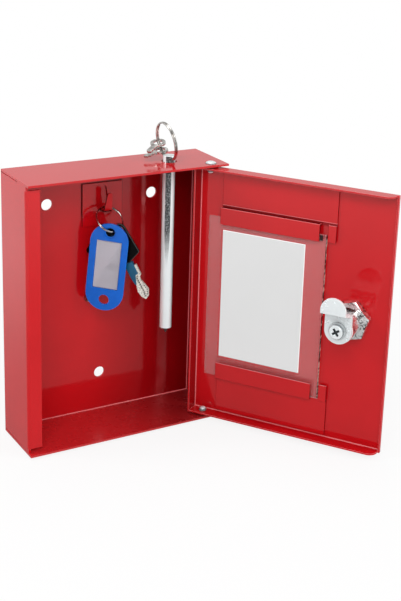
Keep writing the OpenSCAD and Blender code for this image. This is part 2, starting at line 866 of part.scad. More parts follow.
// Recess that holds the label and its clear cover, open to the front
module tag_frame() {
    color("dodgerblue") on_tag() difference() {
        plate_y_extrude(-tag_t / 2, tag_t / 2) difference() {
            stadium(tag_w, tag_l);
            tag_holes();
        }
        plate_y_extrude(-tag_t / 2 - cut, -tag_t / 2 + label_t + cover_t)
            label_place(seat_gap);
        for (side = [-1, 1])
            translate([0, side * tag_t / 2, tag_l / 2 - tag_eye_drop])
                rotate([side * 90, 0, 0]) translate([0, 0, -tag_eye_chamfer])
                    cylinder(h = 2 * tag_eye_chamfer, r1 = tag_eye_d / 2,
                        r2 = tag_eye_d / 2 + 2 * tag_eye_chamfer);
    }
}

module tag_label() {
    color("gainsboro") on_tag()
        plate_y_extrude(-tag_t / 2 + cover_t, -tag_t / 2 + cover_t + label_t) label_place(0);
}

module tag_cover() {
    color("white", 0.4) on_tag()
        plate_y_extrude(-tag_t / 2, -tag_t / 2 + cover_t) label_place(0);
}

// Outline of a plastic key head: hole at the origin, blade downwards along axis_x
module head_outline(axis_x, half_w, length) {
    hull($fn = 32) {
        circle(d = head_hole_d + 2 * head_wall);
        translate([axis_x - head_shoulder, 0]) circle(head_corner_r);
        for (side = [-1, 1])
            translate([axis_x + side * (half_w - head_corner_r), -length + head_corner_r])
                circle(head_corner_r);
        translate([axis_x, -length - head_bulge]) circle(head_corner_r);
    }
}

module key_head(axis_x, half_w, length) {
    plate_y_extrude(-head_t / 2, head_t / 2) difference() {
        head_outline(axis_x, half_w, length);
        circle(d = head_hole_d);
    }
}

module room_key_bow() {
    color("black") on_set(room_point, room_lean) key_head(room_axis_x, room_half_w, room_head_l);
}

module key_collar() {
    color("teal") on_set(room_point, room_lean)
        translate([room_axis_x + sleeve_shift - sleeve_w / 2, -sleeve_t / 2, room_sleeve_z])
            cube([sleeve_w, sleeve_t, sleeve_l]);
}

// Leaf-shaped blade with a shoulder beside the sleeve
module room_key_blade() {
    side_x = sleeve_shift + sleeve_w / 2;
    color("silver") on_set(room_point, room_lean)
        plate_y_extrude(-blade_t / 2, blade_t / 2) translate([room_axis_x, room_sleeve_z])
            polygon([
                [-1.8, 0], [side_x, 0], [side_x, 5.5], [3.2, 5.5], [3.2, -1], [1.8, -2],
                [1.5, -4], [2.7, -7.6], [3.3, -10.8], [1.6, -14.2], [-0.6, -15.4],
                [-2.4, -13.2], [-3.1, -9.6], [-1.8, -4.6]]);
}

module spare_key() {
    on_set(spare_point, spare_lean) {
        color("black") key_head(spare_axis_x, spare_half_w, spare_head_l);
        color("silver") plate_y_extrude(-blade_t / 2, blade_t / 2)
            translate([spare_axis_x, -spare_head_l - head_bulge - spare_blade_l / 2])
                stadium(spare_blade_w, spare_blade_l);
    }
}

case();
hook_plate();
hinge_rivet_upper();
hinge_rivet_lower();
door_pan();
glass_retainer_upper();
glass_retainer_lower();
glass_pane();
lock_housing();
lock_nut();
lock_plug();
lock_cam();
cam_washer();
cam_screw();
striker_rod();
striker_ring();
lock_key_1();
lock_key_2();
hook_ring();
tag_frame();
tag_label();
tag_cover();
room_key_bow();
room_key_blade();
key_collar();
spare_key();
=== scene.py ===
# %% [markdown]
# # Break glass key box
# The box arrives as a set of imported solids, each one already in its place.
# This lesson gives them their looks. It loads the solids, sets up a camera and mixes the finishes.
# Then it models again the pieces that are finer than their solids, and lights a small studio.

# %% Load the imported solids
import json
import math

import bmesh
import bpy
import numpy as np
from mathutils import Matrix, Quaternion, Vector


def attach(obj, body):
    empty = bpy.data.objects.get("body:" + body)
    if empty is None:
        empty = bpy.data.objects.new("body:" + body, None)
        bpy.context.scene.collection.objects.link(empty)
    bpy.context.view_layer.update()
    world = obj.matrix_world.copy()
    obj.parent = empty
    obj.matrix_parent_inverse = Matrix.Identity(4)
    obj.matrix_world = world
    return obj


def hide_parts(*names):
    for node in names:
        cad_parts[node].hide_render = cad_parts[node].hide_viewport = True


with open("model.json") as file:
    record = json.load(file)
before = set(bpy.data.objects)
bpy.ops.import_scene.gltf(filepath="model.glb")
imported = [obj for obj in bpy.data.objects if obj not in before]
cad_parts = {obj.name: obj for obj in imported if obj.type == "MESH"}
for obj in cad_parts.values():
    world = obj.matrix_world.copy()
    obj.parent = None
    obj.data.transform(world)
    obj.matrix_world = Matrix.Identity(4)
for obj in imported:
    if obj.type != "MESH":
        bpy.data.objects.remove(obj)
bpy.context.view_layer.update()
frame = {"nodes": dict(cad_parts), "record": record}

MM = 0.001
nodes = frame["nodes"]

# %% [markdown]
# ## Camera
# The photograph looks into the open box from its front left and from a little above.
# A camera could be moved by hand until the picture fits. This one was solved from the edges of the
# case and the door, which is more exact, so it is written down as a point to look at, two angles,
# a distance and a small roll.

# %% Camera
IMAGE_W, IMAGE_H = 401, 601
LOOK_AT = Vector((71.70, -40.0, 39.51)) * MM
AZIMUTH, ELEVATION, ROLL = 32.215, 17.237, 2.422
DISTANCE = 712.4 * MM
FOCAL_PIXELS = 1238.4
CENTRE_PIXEL = (244.1, 225.8)
SENSOR = 36.0


def placed(name, data):
    """A new object around some data, linked into the scene."""
    thing = bpy.data.objects.new(name, data)
    bpy.context.scene.collection.objects.link(thing)
    return thing


azimuth, elevation = math.radians(AZIMUTH), math.radians(ELEVATION)
forward = Vector((math.sin(azimuth) * math.cos(elevation),
                  math.cos(azimuth) * math.cos(elevation),
                  -math.sin(elevation)))
lens_data = bpy.data.cameras.new("camera")
lens_data.sensor_width = SENSOR
lens_data.lens = FOCAL_PIXELS / IMAGE_H * SENSOR
lens_data.shift_x = (IMAGE_W / 2 - CENTRE_PIXEL[0]) / IMAGE_H
lens_data.shift_y = (CENTRE_PIXEL[1] - IMAGE_H / 2) / IMAGE_H
lens_data.clip_start, lens_data.clip_end = 0.02, 20
camera = placed("camera", lens_data)
camera.rotation_mode = "QUATERNION"
camera.location = LOOK_AT - forward * DISTANCE
camera.rotation_quaternion = (forward.to_track_quat("-Z", "Y")
                              @ Quaternion((0, 0, 1), math.radians(ROLL)))
bpy.context.scene.camera = camera
print("lens %.1f mm, shift %.3f %.3f" % (lens_data.lens, lens_data.shift_x, lens_data.shift_y))

# %% [markdown]
# ## Finishes
# A finish is a node material. It could be wired by hand in the shader editor, but sums made of
# Math nodes are slow to write that way, so two small classes help. Wire stands for one output
# socket and turns Python's operators into Math nodes. Finish makes a material with its constants
# set on the shader's own sockets.

# %% Arithmetic on node sockets
class Wire:
    """One output socket, on which arithmetic adds Math nodes."""

    def __init__(self, finish, socket):
        self.finish, self.socket = finish, socket

    def maths(self, operation, first, second=0.0):
        return self.finish.node("ShaderNodeMath", {"operation": operation}, [first, second])

    def __add__(self, other):
        return self.maths("ADD", self, other)

    def __sub__(self, other):
        return self.maths("SUBTRACT", self, other)

    def __rsub__(self, other):
        return self.maths("SUBTRACT", other, self)

    def __mul__(self, other):
        return self.maths("MULTIPLY", self, other)

    def __pow__(self, other):
        return self.maths("POWER", self, other)

    def __gt__(self, other):
        return self.maths("GREATER_THAN", self, other)

    __radd__, __rmul__ = __add__, __mul__

    def absolute(self):
        return self.maths("ABSOLUTE", self)

    def fraction(self):
        """What is left above the last whole number."""
        return self.maths("FRACT", self)

    def at_least(self, other):
        return self.maths("MAXIMUM", self, other)

    def ramp(self, low, high):
        """0 below low, 1 above high, smooth between."""
        settings = {"interpolation_type": "SMOOTHSTEP"}
        return self.finish.node("ShaderNodeMapRange", settings, [self, low, high, 0.0, 1.0])


# %% Node trees
class Finish:
    """A node tree around one shader, with what varies over the surface fed in by name."""

    def __init__(self, name, world=None, **constants):
        self.material = world or bpy.data.materials.new(name)
        self.material.use_nodes = True
        self.tree = self.material.node_tree
        self.shader = self.tree.nodes["Background" if world else "Principled BSDF"]
        for socket, value in constants.items():
            self.shader.inputs[socket.replace("_", " ")].default_value = value

    def node(self, kind, settings=None, inputs=(), out=0):
        made = self.tree.nodes.new(kind)
        for key, value in (settings or {}).items():
            setattr(made, key, value)
        pairs = inputs.items() if isinstance(inputs, dict) else enumerate(inputs)
        for key, value in pairs:
            if isinstance(value, Wire):
                self.tree.links.new(value.socket, made.inputs[key])
            else:
                made.inputs[key].default_value = value
        return Wire(self, made.outputs[out])

    def feed(self, socket, wire):
        self.tree.links.new(wire.socket, self.shader.inputs[socket])

    def place(self, scale=(1, 1, 1)):
        """Object coordinates in millimetres, stretched by a Mapping node."""
        coordinates = self.node("ShaderNodeTexCoord", out="Object")
        return self.node("ShaderNodeMapping", {},
                         {"Vector": coordinates, "Scale": [s / MM for s in scale]})

    def part(self, where, way):
        """The X, Y or Z of a place."""
        return self.node("ShaderNodeSeparateXYZ", inputs=[where], out=way)

    def noise(self, where, scale, detail=2.0, roughness=0.5, distortion=0.0):
        return self.node("ShaderNodeTexNoise", {}, {
            "Vector": where, "Scale": scale, "Detail": detail,
            "Roughness": roughness, "Distortion": distortion})

    def blend(self, amount, first, second):
        """Mix of two colours."""
        return self.node("ShaderNodeMix", {"data_type": "RGBA"},
                         {0: amount, 6: first, 7: second}, out=2)

    def between(self, amount, first, second):
        """Mix of two numbers."""
        return self.node("ShaderNodeMix", {"data_type": "FLOAT"}, {0: amount, 2: first, 3: second})

    def marked(self, attribute):
        """A number that the mesh carries on its corners or faces, 0 where it carries none."""
        return self.node("ShaderNodeAttribute", {"attribute_name": attribute}, out="Fac")

    def slant(self):
        """0 where a ray meets the surface face on, 1 where it only grazes it."""
        return self.node("ShaderNodeLayerWeight", inputs={"Blend": 0.5}, out="Facing")

    def ray(self, kind):
        """1 for rays of this kind, 0 for all others."""
        return self.node("ShaderNodeLightPath", out=kind)

    def bump(self, height, depth_mm):
        self.feed("Normal", self.node("ShaderNodeBump", {}, {
            "Strength": 1.0, "Distance": depth_mm * MM, "Height": height}))


def grey(level, tint=(1, 1, 1)):
    return (level * tint[0], level * tint[1], level * tint[2], 1.0)


finishes = {}


def keep(slot, finish):
    finishes[slot] = finish.material
    print("%s: %d nodes" % (slot, len(finish.tree.nodes)))


# %% [markdown]
# ## Red enamel
# The case, the door and their small plates carry gloss enamel that was sprayed and baked.
# From close up it has a faint orange peel: low swells a couple of millimetres apart.
# A picture of paint could show them, but it would blur from near. So a noise at that scale drives
# a very shallow bump, and a slower noise shifts the red a little.
# A paler red highlight is painted on rounded edges and shade is painted into tight corners, and
# the box's floor is dusty. A tight corner mirrors nothing but more paint, so where shade is
# painted the enamel is also blended toward a red mirror. Shade is also painted on the inside of
# the case, darker toward the hinge, where the open door stands in front of it, and along the
# outline of the small plate that is welded to its back.

# %% Outline of the welded plate
def corners(node):
    """The corners of a solid as rows of x, y and z in metres."""
    return np.array([corner.co for corner in nodes[node].data.vertices])


plate_low = corners("hook_plate").min(axis=0) / MM
plate_high = corners("hook_plate").max(axis=0) / MM
plate_middle, plate_half = (plate_low + plate_high) / 2, (plate_high - plate_low) / 2
enamel = Finish("red_enamel", IOR=1.53)
where = enamel.place()
sideways, upward = enamel.part(where, "X"), enamel.part(where, "Z")
beside = (sideways - plate_middle[0]).absolute() - plate_half[0]
above = (upward - plate_middle[2]).absolute() - plate_half[2]
outside = beside.at_least(above)
# Painted shade in a thin band along the outline of the welded plate, fading out toward its foot.
outline_shade = outside.ramp(-0.6, -0.1) * (1 - outside.ramp(0.45, 0.9))
outline_shade = outline_shade * upward.ramp(plate_low[2] + 3, plate_low[2] + 9)
print("welded plate mm:", [round(value, 1) for value in plate_high - plate_low])

# %% Red enamel
REDS = ((0.50, 0.003, 0.006, 1), (0.60, 0.005, 0.010, 1))
SHADE_RED, HIGHLIGHT_RED, DUST_RED = (0.06, 0.0, 0.001, 1), (0.95, 0.3, 0.32, 1), (0.6, 0.3, 0.3, 1)
HINGE_SHADE = (-15.0, 62.0)
DUST_TOP = (-77.0, -75.5)

# Painted shade on the case's inner walls: more toward the hinge, and along the plate's outline.
corner = enamel.marked("inner") * (0.52 * sideways.ramp(*HINGE_SHADE) + 0.65 * outline_shade)
low = 1 - upward.ramp(*DUST_TOP)
dust = low * enamel.noise(where, 0.9, detail=3, roughness=0.7)
gloss = enamel.blend(enamel.noise(where, 0.035, detail=2), *REDS)
# Painted shade: faces marked shade and the shaded inner walls turn toward a dark red.
gloss = enamel.blend(enamel.marked("shade").at_least(corner), gloss, SHADE_RED)
# Painted highlight: the rounds and lines marked edge turn toward a pale red.
gloss = enamel.blend(enamel.marked("edge") * 0.6, gloss, HIGHLIGHT_RED)
enamel.feed("Base Color", enamel.blend(dust * 0.12, gloss, DUST_RED))
# Where shade is painted, the enamel also turns into a dark red mirror.
enamel.feed("Metallic", 0.9 * enamel.marked("shade") + 0.5 * corner)
enamel.feed("Roughness", 0.05 + 0.07 * enamel.noise(where, 0.12) + 0.35 * low)
enamel.bump(enamel.noise(where, 0.42, detail=1.5, roughness=0.45), 0.02)
keep("red_paint", enamel)

# %% [markdown]
# ## Metals
# Zinc plate is soft, pale and slightly cloudy. The lock's casting is bright over a rough skin, and
# the nickel of a ring is a sharp mirror with stains.
# Every metal could be a full mirror, which is right for the rings, but a full mirror shows only
# its surroundings. The cam is pale and even wherever it is turned, so its zinc mixes a little
# mirror with much plain colour. Noise varies the blur of all three.

# %% Zinc plate
zinc = Finish("zinc_plate", Metallic=0.3)
where = zinc.place()
cloud = zinc.noise(where, 0.25, detail=4, roughness=0.6)
plate = zinc.blend(cloud, grey(0.84, (0.94, 1, 1.02)), grey(1.0, (0.93, 0.99, 1)))
# Painted shade: faces marked shade, on the screw, the washer and the rivets, turn a dark blue-grey.
zinc.feed("Base Color", zinc.blend(zinc.marked("shade"), plate, grey(0.05, (0.8, 1, 1.1))))
zinc.feed("Roughness", 0.18 + 0.16 * cloud)
zinc.bump(zinc.noise(where, 1.6, detail=3), 0.004)
keep("zinc", zinc)

# %% Bright casting
chrome = Finish("bright_casting")
where = chrome.place()
patch = chrome.noise(where, 0.5, detail=3, roughness=0.6, distortion=0.8)
cast = chrome.blend(patch.ramp(0.36, 0.5), grey(0.08), grey(1.0))
# Painted shade on faces marked shade, and a painted highlight on the rounds: white and less metal.
cast = chrome.blend(chrome.marked("shade"), cast, grey(0.03))
chrome.feed("Base Color", chrome.blend(chrome.marked("edge"), cast, grey(1.0)))
chrome.feed("Metallic", 0.9 - 0.85 * chrome.marked("edge"))
chrome.feed("Roughness", 0.09 + 0.16 * patch)
chrome.bump(chrome.noise(where, 1.4, detail=3), 0.09)
keep("chrome", chrome)

# %% Nickel plate
nickel = Finish("nickel_plate", Metallic=1.0)
where = nickel.place()
stain = nickel.noise(where, 0.3, detail=3)
plate = nickel.blend(stain.ramp(0.3, 0.7),
                     grey(0.3, (1, 0.92, 0.86)), grey(0.75, (1, 0.98, 0.94)))
# Painted shade on faces marked shade.
nickel.feed("Base Color", nickel.blend(nickel.marked("shade"), plate, grey(0.05)))
nickel.feed("Roughness", 0.12 + 0.14 * stain)
nickel.bump(nickel.noise(where, 1.3), 0.01)
keep("nickel", nickel)

# %% [markdown]
# ## Nickel of a key
# The nickel of a key is paler and yellower than that of a ring. It could share the ring's finish,
# but then the hanging blade would turn dark whenever it mirrors the case. A finish of its own,
# with less metal in its mix, keeps the blade light wherever it is turned.

# %% Blade nickel
blade = Finish("key_nickel", Metallic=0.5)
where = blade.place()
plate = blade.blend(blade.noise(where, 0.8, detail=3),
                    grey(0.8, (1, 0.97, 0.86)), grey(0.95, (1, 0.98, 0.9)))
# Painted shade in the milled groove and pits, marked by their depth.
blade.feed("Base Color", blade.blend(blade.marked("shade"), plate, grey(0.03)))
blade.feed("Roughness", 0.2 + 0.15 * blade.noise(where, 2.0))
keep("key_nickel", blade)

# %% [markdown]
# ## Striker rod
# The rod is drawn steel with bright zinc. Along the front of its upper half a dark mottled
# reflection is painted, and between its front and its back painted shade makes it a little
# greyer. The painted reflection could be a strip of its own, but it has no thickness. How far a
# point lies toward the rod's front, and how high, says where it is, and the strip stays a part of
# the finish.

# %% Rod finish
ROD_AXIS = (31.8, -21.5)
ROD_FRONT = (-0.533, -0.846)
REFLECTION_RISE = (12.0, 40.0)

rod = Finish("drawn_rod", Metallic=0.2)
where = rod.place()
grain = rod.noise(rod.place(scale=(1.1, 1.1, 0.09)), 1.0, detail=4, roughness=0.6)
speck = rod.noise(where, 1.5, detail=3, roughness=0.75)
facing = ((rod.part(where, "X") - ROD_AXIS[0]) * ROD_FRONT[0]
          + (rod.part(where, "Y") - ROD_AXIS[1]) * ROD_FRONT[1])
upper = rod.part(where, "Z").ramp(*REFLECTION_RISE)
# Painted reflection: a dark mottled band down the front of the upper half.
reflection_band = (facing + 0.35 * upper).ramp(3.45, 3.6)
painted_reflection = reflection_band * upper * (0.6 + 0.4 * speck.ramp(0.42, 0.48))
# Painted shade along both sides of the rod, where it turns away from its front.
rim_shade = 0.4 * (1 - facing.absolute().ramp(0.9, 2.1))
plate = rod.blend(painted_reflection, grey(1.0, (0.92, 0.99, 1)), grey(0.04, (0.85, 1, 1.1)))
plate = rod.blend(rim_shade, plate, grey(0.05))
rod.feed("Base Color", rod.blend(rod.marked("shade"), plate, grey(0.04, (1.2, 0.9, 0.9))))
rod.feed("Roughness", 0.16 + 0.2 * painted_reflection)
rod.bump(grain * 0.6 + speck * 0.4, 0.015)
keep("rod_steel", rod)

# %% [markdown]
# ## Glass and clear film
# A thin flat pane hardly bends light. A refracting glass could stand here, but it would block the
# lamps. A surface that is nearly transparent face on and fills in at a slant gives the same look:
# the slant comes from Layer Weight and drives the alpha alone.
# The pane's side by the lock was cut and not polished, so it is nearly solid, dark with bright
# chips that stand in even steps near its lower end. How much of the pane shows, and how pale it
# is, is marked on the pane's own faces.

# %% Window glass
CHIPS_PER_MM, CHIPS_END = 0.45, (19, 24)
pane_foot = corners("glass_pane").min(axis=0)[2] / MM

glass = Finish("window_glass", Metallic=0.3)
where = glass.place()
upward = glass.part(where, "Z")
steps = (upward * CHIPS_PER_MM).fraction() > 0.5
steps = steps * (1 - upward.ramp(pane_foot + CHIPS_END[0], pane_foot + CHIPS_END[1]))
chips = glass.noise(where, 0.6, detail=2, roughness=0.6).ramp(0.53, 0.58).at_least(steps)
sides = glass.blend(chips, grey(0.01, (1, 1.1, 0.9)), grey(1.0, (1, 0.97, 0.85)))
sheet = glass.blend(glass.marked("pale"), grey(0.12), grey(1.0))
# Painted shadow: the pane's faces in the gap beside the upper holder turn nearly black.
sheet = glass.blend(glass.marked("shade"), sheet, (0.02, 0.001, 0.002, 1))
cut, seen = glass.marked("cut_side"), glass.marked("seen")
smear = glass.noise(where, 0.06, detail=3)
glass.feed("Base Color", glass.blend(cut, sheet, sides))
glass.feed("Roughness", 0.03 + 0.5 * cut)
glass.feed("Alpha", seen + 0.1 * seen * smear + 0.8 * glass.slant() ** 5 + 0.9 * cut)
keep("glass", glass)

# %% Clear film
film = Finish("clear_film", Metallic=1.0, Roughness=0.12, Base_Color=grey(0.8))
smear = film.noise(film.place(), 0.06, detail=3)
film.feed("Alpha", 0.05 + 0.03 * smear + 0.95 * film.slant() ** 5)
keep("clear_plastic", film)

# %% [markdown]
# ## Plastics and card
# Moulded plastic has a fine grain and a soft shine, and a highlight is painted on its rounded
# rims. The tag, the key heads and the sleeve could each have a finish written out in full. They
# differ only in colour and gloss, so one function mixes all three. The label is plain card, with
# fibres that are too fine to see one by one, so a small noise moves its tone.

# %% Plastics
GRAIN_DEPTH = 0.012


def moulded(name, dark, light, rim, roughness, bend=1.42):
    """Plastic between two tones, with a painted highlight in the rim colour on its rounds. Bend is
    how strongly it bends light, and so how it shines.
    """
    plastic = Finish(name, IOR=bend)
    spot = plastic.place()
    tone = plastic.blend(plastic.noise(spot, 0.2, detail=2), dark, light)
    # Painted highlight: the rounds marked edge turn toward the rim colour.
    plastic.feed("Base Color", plastic.blend(plastic.marked("edge") * 0.7, tone, rim))
    plastic.feed("Roughness", roughness + 0.1 * plastic.noise(spot, 0.8, detail=3))
    plastic.bump(plastic.noise(spot, 3.5, detail=2), GRAIN_DEPTH)
    return plastic


keep("blue_plastic", moulded(
    "tag_blue", (0.0, 0.1, 0.53, 1), (0.0, 0.145, 0.7, 1), (0.03, 0.3, 0.95, 1), 0.1))
keep("black_plastic", moulded(
    "head_black", grey(0.001), grey(0.003), grey(0.09), 0.22, bend=1.18))
keep("teal_plastic", moulded(
    "sleeve_teal", (0.003, 0.075, 0.15, 1), (0.005, 0.11, 0.21, 1), (0.02, 0.2, 0.35, 1), 0.35))

# %% Label card
CARD_TINT = (0.98, 0.97, 1.08)
card = Finish("label_card", Roughness=0.8)
fibre = card.noise(card.place(), 2.4, detail=5, roughness=0.7)
card.feed("Base Color", card.blend(fibre, grey(0.51, CARD_TINT), grey(0.6, CARD_TINT)))
card.bump(fibre, 0.01)
keep("label_paper", card)

# %% [markdown]
# ## Every solid gets its finish
# On the real box each part comes finished from its own maker, and here each solid names its
# finish in the record that came with it. The finishes could be given out one by one. A loop over
# that record is shorter and leaves no solid bare.

# %% Give out the finishes
slot_of = {row["node"]: row["material_slot"] for row in frame["record"]["subparts"]}
for name, solid in nodes.items():
    solid.data.materials.clear()
    solid.data.materials.append(finishes[slot_of[name]])
print("finishes:", ", ".join(sorted(finishes)))

# %% [markdown]
# ## Rolled edges
# A solid from the CAD program has edges as sharp as a razor. Real sheet steel and mouldings have
# small rounds that catch the light, and they are what makes a close render believable.
# A Bevel modifier on the solid could add them, but it would also meet the seams between the
# solid's triangles. So the solid itself stays as it is. A copy has its loose triangles merged, its
# flat regions dissolved to single faces, and its sharp edges bevelled, and it then stands for the
# solid.

# %% Pieces that stand for a solid
SMOOTH_UP_TO = 40
behaviour = frame["record"]["behaviour"]
body_of = {solid: body for body, members in behaviour["bodies"].items() for solid in members}
joint_of = {joint["name"]: joint for joint in behaviour["joints"]}
print("joints:", ", ".join(joint_of))


def finish_piece(name, mesh, node, slot=None, finish=None):
    """A piece made of this mesh. It stands for a solid, rides on its body and has its finish."""
    slot = slot or slot_of[node]
    data = bpy.data.meshes.new(name)
    mesh.to_mesh(data)
    mesh.free()
    data.shade_smooth()
    data.set_sharp_from_angle(angle=math.radians(SMOOTH_UP_TO))
    data.materials.append(finishes[finish or slot])
    piece = placed(name, data)
    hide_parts(node)
    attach(piece, body_of[node])
    return piece


# %% Bevelled copies
SHARP_FROM = 35
WELD, FLAT = 0.0005 * MM, 0.6


def face_marks(mesh, *names):
    """The layers of numbers on the faces of a mesh that go by these names."""
    layers = mesh.faces.layers.float
    return [layers.get(name) or layers.new(name) for name in names]


def merged_copy(node):
    mesh = bmesh.new()
    mesh.from_mesh(nodes[node].data)
    face_marks(mesh, "edge", "shade")
    bmesh.ops.remove_doubles(mesh, verts=mesh.verts, dist=WELD)
    bmesh.ops.dissolve_limit(mesh, angle_limit=math.radians(FLAT), verts=mesh.verts,
                             edges=mesh.edges, use_dissolve_boundaries=False)
    return mesh


def roll_edges(mesh, width_mm, segments=2):
    """Bevels the sharp edges. The rounds are marked on a mesh that has a layer for it."""
    sharp = [edge for edge in mesh.edges
             if edge.is_manifold and edge.calc_face_angle(0) > math.radians(SHARP_FROM)]
    rounds = bmesh.ops.bevel(mesh, geom=sharp, affect="EDGES", offset=width_mm * MM,
                             offset_type="OFFSET", segments=segments, profile=0.5, material=-1,
                             clamp_overlap=True)["faces"]
    # The marked rounds get a painted highlight in most finishes.
    edge = mesh.faces.layers.float.get("edge")
    for face in rounds if edge else ():
        face[edge] = 1.0


def even_normals(piece):
    """Lets the flat faces keep their own shading up to the rounds beside them."""
    piece.modifiers.new("even normals", "WEIGHTED_NORMAL").keep_sharp = True


def rolled_piece(node, name, width_mm, segments=2, shading=None):
    """A copy with rounded edges. Shading is a rule that says how much shade is painted on a face,
    from 0 to 1.
    """
    mesh = merged_copy(node)
    roll_edges(mesh, width_mm, segments)
    edge, shade = face_marks(mesh, "edge", "shade")
    for face in mesh.faces if shading else ():
        face[shade] = shading(face)
        # Faces with painted shade lose their painted highlight.
        if face[shade] > 0:
            face[edge] = 0.0
    piece = finish_piece(name, mesh, node)
    even_normals(piece)
    print("%s: %d faces" % (name, len(piece.data.polygons)))


# %% Small plates, mouldings and lock parts
ROLLED = {
    "lock_cam": ("cam_plate", 0.2), "tag_frame": ("tag_body", 0.5),
    "room_key_bow": ("room_key_head", 0.35), "lock_nut": ("barrel_nut", 0.5),
    "lock_housing": ("lock_barrel", 0.2), "lock_plug": ("lock_core", 0.12),
    "lock_key_1": ("small_key_1", 0.14), "lock_key_2": ("small_key_2", 0.14),
}
for solid_name, (piece_name, width) in ROLLED.items():
    rolled_piece(solid_name, piece_name, width)

# %% [markdown]
# ## Window pane
# The pane is a plain sheet, so its shape stays. In the closed door it is easy to say where the
# window lies, so the copy is turned back there, cut along the window's edge, marked and turned
# out again. Three sheets side by side could do the same, but the cuts keep the pane in one piece.
# Over the paint the pane is a pale film, over the window a little grey, and between the two runs
# a clear line. Beside the upper holder's open end a painted shadow makes the pane nearly solid
# and black.

# %% Where the window lies
OPEN_ANGLE = 123.5
WINDOW_FROM_FREE_EDGE, WINDOW_FROM_HINGE_EDGE = 52.5, 15.1
WINDOW_RISE, WINDOW_H = 36.1, 77.9

hinge = Matrix.Translation(Vector(joint_of["door_hinge"]["pos_m"]))
open_door = hinge @ Matrix.Rotation(math.radians(OPEN_ANGLE), 4, "Z") @ hinge.inverted()
shut_door = open_door.inverted()
shut_points = [(shut_door @ corner.co) / MM for corner in nodes["door_pan"].data.vertices]
widths, heights = [point.x for point in shut_points], [point.z for point in shut_points]
window_x = (min(widths) + WINDOW_FROM_FREE_EDGE, max(widths) - WINDOW_FROM_HINGE_EDGE)
window_z = (min(heights) + WINDOW_RISE, min(heights) + WINDOW_RISE + WINDOW_H)
print("window mm:", [[round(value, 1) for value in pair] for pair in (window_x, window_z)])

# %% Cut the pane
ACROSS, UP = Vector((1, 0, 0)), Vector((0, 0, 1))
CLEAR_LINE = 0.35
GAP_SIDES, GAP_FOOT = (-18.0, -16.1), 43.2


def cut_plane(mesh, spot, way, **removed):
    """Cuts a whole mesh along a plane, and can take away one side of it."""
    bmesh.ops.bisect_plane(mesh, geom=mesh.verts[:] + mesh.edges[:] + mesh.faces[:],
                           plane_co=spot, plane_no=way, **removed)


pane = merged_copy("glass_pane")
bmesh.ops.transform(pane, matrix=shut_door, verts=pane.verts)
cuts = [(way, value + side) for way, pair in ((ACROSS, window_x), (UP, window_z))
        for value in pair for side in (-CLEAR_LINE, CLEAR_LINE)]
cuts += [(ACROSS, GAP_SIDES[0]), (ACROSS, GAP_SIDES[1]), (UP, GAP_FOOT)]
for way, value in cuts:
    cut_plane(pane, way * value * MM, way)
print("pane: %d cuts, %d faces" % (len(cuts), len(pane.faces)))

# %% Mark the pane
SEEN_RIM, SEEN_SHADOW, SEEN_INSIDE, SEEN_WINDOW, SEEN_FILM = 0.2, 0.9, 0.02, 0.25, 0.12

cut_side, seen, pale, shade = face_marks(pane, "cut_side", "seen", "pale", "shade")
for face in pane.faces:
    spot = face.calc_center_median() / MM
    inset = min(spot.x - window_x[0], window_x[1] - spot.x,
                spot.z - window_z[0], window_z[1] - spot.z)
    face[cut_side] = float(face.normal.x < -0.5)
    if abs(face.normal.y) < 0.5:
        face[seen] = SEEN_RIM
    elif face.normal.y > 0:
        # The gap beside the upper holder's open end gets a painted shadow, nearly solid and black.
        in_shadow = GAP_SIDES[0] < spot.x < GAP_SIDES[1] and spot.z > GAP_FOOT
        face[seen] = SEEN_SHADOW if in_shadow else SEEN_INSIDE
        face[shade] = float(in_shadow)
    elif abs(inset) > CLEAR_LINE:
        face[seen] = SEEN_WINDOW if inset > 0 else SEEN_FILM
    face[pale] = float(inset < 0 and face[seen] < 0.5)
bmesh.ops.transform(pane, matrix=open_door, verts=pane.verts)
print("pale faces:", sum(face[pale] > 0 for face in pane.faces))
finish_piece("window_pane", pane, "glass_pane")

# %% [markdown]
# ## Folded shells
# The case and the door are folded from sheet steel. Along the inside of each fold a bright line
# is painted as a highlight over its whole length. The line could be a thin strip laid into the
# fold, but the folds are already there as long narrow faces that stand at a slant and look
# inward. A rule on the length and the direction of a face finds them. The same walk marks the
# case's inner walls for the enamel's painted shade, and paints a little shade on the side of the
# door by the hinge, which is a little darker.

# %% Case and door shells
SQUARE_FROM = 0.97
WALL_AREA, FOLD_RIM = 100 * MM * MM, 80 * MM
HINGE_FLANGE = 50 * MM


def folded_piece(node, name, edge_mm, centre_mm, to_square=Matrix()):
    mesh = merged_copy(node)
    roll_edges(mesh, edge_mm)
    inner, shade, edge = face_marks(mesh, "inner", "shade", "edge")
    folds = 0
    for face in mesh.faces:
        spot = to_square @ face.calc_center_median()
        normal = to_square.to_3x3() @ face.normal
        looks_in = normal.dot(Vector(centre_mm) * MM - spot) > 0
        slanted = max(abs(value) for value in normal) < SQUARE_FROM
        # The inner walls take the enamel's painted shade.
        if node == "case" and looks_in and face.calc_area() > WALL_AREA:
            face[inner] = 1.0
        # Painted shade on the door's flange by the hinge.
        if node == "door_pan" and abs(normal.x) > 0.9 and spot.x > HINGE_FLANGE:
            face[shade] = 0.3
        # Painted highlight along the inner folds.
        if slanted and looks_in and face.calc_perimeter() > FOLD_RIM:
            face[edge] = 1.0
            folds += 1
    even_normals(finish_piece(name, mesh, node))
    print("%s: %d faces in the inner folds" % (name, folds))


folded_piece("case", "case_shell", 0.2, (0, -20, 0))
folded_piece("door_pan", "door_shell", 0.15, (0, -25, 0), shut_door)

